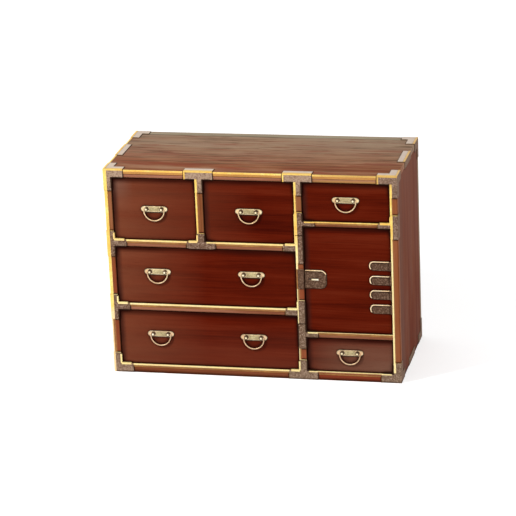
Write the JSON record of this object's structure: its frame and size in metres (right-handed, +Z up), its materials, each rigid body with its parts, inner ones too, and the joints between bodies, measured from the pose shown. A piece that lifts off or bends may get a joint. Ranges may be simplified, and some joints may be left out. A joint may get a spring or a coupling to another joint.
{
  "type": "storage cabinet",
  "caption": "Low framed storage chest with sliding drawers that hang bail handles, a hinged door with a sliding lock bolt, and metal corner plates.",
  "frame": {"origin": "on the ground under the middle of the case's wooden body", "axes": "+X to the right along the front, -Y out of the front, +Z up"},
  "size_m": [1.003, 0.459, 0.7315],
  "materials": {
    "lacquered_wood": "red-brown lacquer over straight grain, satin",
    "plain_wood": "unlacquered light softwood, planed",
    "gilt_edge": "bright worn brass strip",
    "patinated_iron": "hammered iron with a warm taupe patina",
    "antique_brass": "antique brass, worn bright on its high places",
    "bright_brass": "polished by the thumb"
  },
  "bodies": {
    "case": {"side_board_left": "lacquered_wood", "side_board_right": "lacquered_wood", "base_board": "plain_wood", "back_board": "plain_wood", "top_board": "lacquered_wood", "centre_partition": "plain_wood", "short_partition": "plain_wood", "dust_boards": "plain_wood", "compartment_ceiling": "plain_wood", "compartment_floor": "plain_wood", "stile_left": "lacquered_wood", "stile_short": "lacquered_wood", "stile_right": "lacquered_wood", "stile_centre": "lacquered_wood", "top_rail": "lacquered_wood", "rail_left_upper": "lacquered_wood", "rail_left_lower": "lacquered_wood", "rail_right_upper": "lacquered_wood", "rail_right_lower": "lacquered_wood", "bottom_rail": "lacquered_wood", "edge_inlays": "gilt_edge", "drawer_runners": "plain_wood", "front_corner_brackets": "patinated_iron", "rear_corner_brackets": "patinated_iron", "tee_brackets": "patinated_iron", "outer_stile_brackets": "patinated_iron", "centre_stile_brackets": "patinated_iron", "edge_plates": "patinated_iron", "stile_hinge_leaves_and_pins": "patinated_iron", "keeper_plate": "patinated_iron"},
    "drawer_top_left": {"drawer_top_left_front": "lacquered_wood", "drawer_top_left_box": "plain_wood", "drawer_top_left_handle_mounts": "antique_brass"},
    "bail_top_left": {"bail_top_left": "antique_brass"},
    "drawer_top_middle": {"drawer_top_middle_front": "lacquered_wood", "drawer_top_middle_box": "plain_wood", "drawer_top_middle_handle_mounts": "antique_brass"},
    "bail_top_middle": {"bail_top_middle": "antique_brass"},
    "drawer_middle": {"drawer_middle_front": "lacquered_wood", "drawer_middle_box": "plain_wood", "drawer_middle_handle_mounts": "antique_brass"},
    "bail_middle_left": {"bail_middle_left": "antique_brass"},
    "bail_middle_right": {"bail_middle_right": "antique_brass"},
    "drawer_bottom": {"drawer_bottom_front": "lacquered_wood", "drawer_bottom_box": "plain_wood", "drawer_bottom_handle_mounts": "antique_brass"},
    "bail_bottom_left": {"bail_bottom_left": "antique_brass"},
    "bail_bottom_right": {"bail_bottom_right": "antique_brass"},
    "drawer_right_top": {"drawer_right_top_front": "lacquered_wood", "drawer_right_top_box": "plain_wood", "drawer_right_top_handle_mounts": "antique_brass"},
    "bail_right_top": {"bail_right_top": "antique_brass"},
    "drawer_right_bottom": {"drawer_right_bottom_front": "lacquered_wood", "drawer_right_bottom_box": "plain_wood", "drawer_right_bottom_handle_mounts": "antique_brass"},
    "bail_right_bottom": {"bail_right_bottom": "antique_brass"},
    "door": {"door_panel": "lacquered_wood", "door_hinge_straps": "patinated_iron", "lock_plate": "patinated_iron"},
    "lock_bolt": {"lock_bolt": "bright_brass"}
  },
  "joints": [
    {"name": "drawer_top_left_slide", "type": "slide", "parent": "case", "child": "drawer_top_left", "axis": [0, -1, 0], "range_m": [0, 0.33]},
    {"name": "bail_top_left_hinge", "type": "hinge", "parent": "drawer_top_left", "child": "bail_top_left", "pos_m": [-0.33, -0.2275, 0.593], "axis": [-1, 0, 0], "range_deg": [0, 100]},
    {"name": "drawer_top_middle_slide", "type": "slide", "parent": "case", "child": "drawer_top_middle", "axis": [0, -1, 0], "range_m": [0, 0.33]},
    {"name": "bail_top_middle_hinge", "type": "hinge", "parent": "drawer_top_middle", "child": "bail_top_middle", "pos_m": [-0.004, -0.2275, 0.593], "axis": [-1, 0, 0], "range_deg": [0, 100]},
    {"name": "drawer_middle_slide", "type": "slide", "parent": "case", "child": "drawer_middle", "axis": [0, -1, 0], "range_m": [0, 0.33]},
    {"name": "bail_middle_left_hinge", "type": "hinge", "parent": "drawer_middle", "child": "bail_middle_left", "pos_m": [-0.33, -0.2275, 0.3695], "axis": [-1, 0, 0], "range_deg": [0, 100]},
    {"name": "bail_middle_right_hinge", "type": "hinge", "parent": "drawer_middle", "child": "bail_middle_right", "pos_m": [-0.004, -0.2275, 0.3695], "axis": [-1, 0, 0], "range_deg": [0, 100]},
    {"name": "drawer_bottom_slide", "type": "slide", "parent": "case", "child": "drawer_bottom", "axis": [0, -1, 0], "range_m": [0, 0.33]},
    {"name": "bail_bottom_left_hinge", "type": "hinge", "parent": "drawer_bottom", "child": "bail_bottom_left", "pos_m": [-0.33, -0.2275, 0.144], "axis": [-1, 0, 0], "range_deg": [0, 100]},
    {"name": "bail_bottom_right_hinge", "type": "hinge", "parent": "drawer_bottom", "child": "bail_bottom_right", "pos_m": [-0.004, -0.2275, 0.144], "axis": [-1, 0, 0], "range_deg": [0, 100]},
    {"name": "drawer_right_top_slide", "type": "slide", "parent": "case", "child": "drawer_right_top", "axis": [0, -1, 0], "range_m": [0, 0.33]},
    {"name": "bail_right_top_hinge", "type": "hinge", "parent": "drawer_right_top", "child": "bail_right_top", "pos_m": [0.326, -0.2275, 0.6425], "axis": [-1, 0, 0], "range_deg": [0, 100]},
    {"name": "drawer_right_bottom_slide", "type": "slide", "parent": "case", "child": "drawer_right_bottom", "axis": [0, -1, 0], "range_m": [0, 0.33]},
    {"name": "bail_right_bottom_hinge", "type": "hinge", "parent": "drawer_right_bottom", "child": "bail_right_bottom", "pos_m": [0.326, -0.2275, 0.101], "axis": [-1, 0, 0], "range_deg": [0, 100]},
    {"name": "door_hinge", "type": "hinge", "parent": "case", "child": "door", "pos_m": [0.4717, -0.225, 0.3393], "axis": [0, 0, 1], "range_deg": [0, 105]},
    {"name": "lock_bolt_slide", "type": "slide", "parent": "door", "child": "lock_bolt", "axis": [-1, 0, 0], "range_m": [0, 0.01]}
  ]
}
